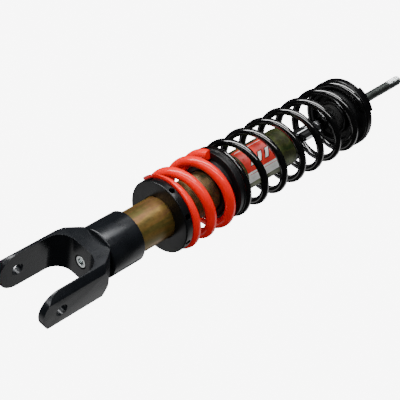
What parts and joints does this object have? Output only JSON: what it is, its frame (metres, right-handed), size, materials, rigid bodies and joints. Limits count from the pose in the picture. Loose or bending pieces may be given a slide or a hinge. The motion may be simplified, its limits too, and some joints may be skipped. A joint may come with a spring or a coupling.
{
  "type": "coilover",
  "caption": "Twin-spring adjustable coilover with a split fork below, screw preload collar, stacked helper and main springs, twin-tube damper and threaded top stud.",
  "frame": {"origin": "centre of the fork's bolt hole, midway between the ears", "axes": "+Z along the damper from the fork to the top stud, +X along the fork's bolt"},
  "size_m": [0.061, 0.061, 0.4205],
  "materials": {
    "anodised_black": "satin black anodised",
    "zinc_gold": "yellow zinc passivated",
    "bright_zinc": "bright zinc plated",
    "steel_plain": "machined steel",
    "sintered_iron": "sintered",
    "bush_bronze": "plain bearing",
    "rubber_black": "moulded",
    "label_print": "printed film",
    "collar_black": "satin black anodised",
    "spring_red": "gloss powder coat",
    "spring_black": "gloss powder coat",
    "polymer_black": "matte moulded",
    "cap_black": "satin black",
    "chrome_rod": "hard chrome",
    "stop_foam": "cellular urethane",
    "band_ptfe": "filled PTFE"
  },
  "bodies": {
    "damper_body": {"clevis": "anodised_black", "clevis_screw": "bright_zinc", "hub": "anodised_black", "outer_tube": "zinc_gold", "inner_tube": "steel_plain", "base_valve": "sintered_iron", "base_valve_bolt": "steel_plain", "base_shims": "steel_plain", "rod_guide": "sintered_iron", "guide_bush": "bush_bronze", "oil_seal": "rubber_black", "end_cap": "cap_black", "rod_wiper": "rubber_black", "guide_o_ring": "rubber_black", "hub_o_ring": "rubber_black", "label": "label_print"},
    "helper_stage": {"helper_spring": "spring_red"},
    "collar": {"preload_collar": "collar_black"},
    "main_stage": {"spring_coupler": "polymer_black", "main_spring": "spring_black"},
    "top_seat": {"spring_seat": "polymer_black"},
    "rod_assembly": {"top_cap": "cap_black", "top_washer": "cap_black", "jam_nut": "steel_plain", "bump_stop": "stop_foam", "piston_rod": "chrome_rod", "piston": "sintered_iron", "piston_band": "band_ptfe", "compression_shims": "steel_plain", "rebound_shims": "steel_plain", "piston_nut": "steel_plain", "topout_stop": "rubber_black"}
  },
  "joints": [
    {"name": "preload_rise", "type": "slide", "parent": "damper_body", "child": "helper_stage", "axis": [0, 0, 1], "range_m": [0, 0.01199]},
    {"name": "collar_turn", "type": "hinge", "parent": "helper_stage", "child": "collar", "pos_m": [0, 0, 0.1156], "axis": [0, 0, 1], "range_deg": [0, 2880]},
    {"name": "helper_travel", "type": "slide", "parent": "helper_stage", "child": "main_stage", "axis": [0, 0, 1], "range_m": [-0.00516, 0], "deforming": ["helper_spring"]},
    {"name": "damper_travel", "type": "slide", "parent": "main_stage", "child": "top_seat", "axis": [0, 0, 1], "range_m": [-0.0463, 0], "stiffness_N_per_m": 16300, "springref_m": 0.005, "deforming": ["main_spring"]},
    {"name": "rod_swivel", "type": "hinge", "parent": "top_seat", "child": "rod_assembly", "pos_m": [0, 0, 0.322], "axis": [0, 0, 1], "continuous": true}
  ],
  "couplings": [
    {"joint": "collar_turn", "follows": "preload_rise", "rad_per_m": 4188.8},
    {"joint": "helper_travel", "follows": "damper_travel", "ratio": 0.1111}
  ]
}
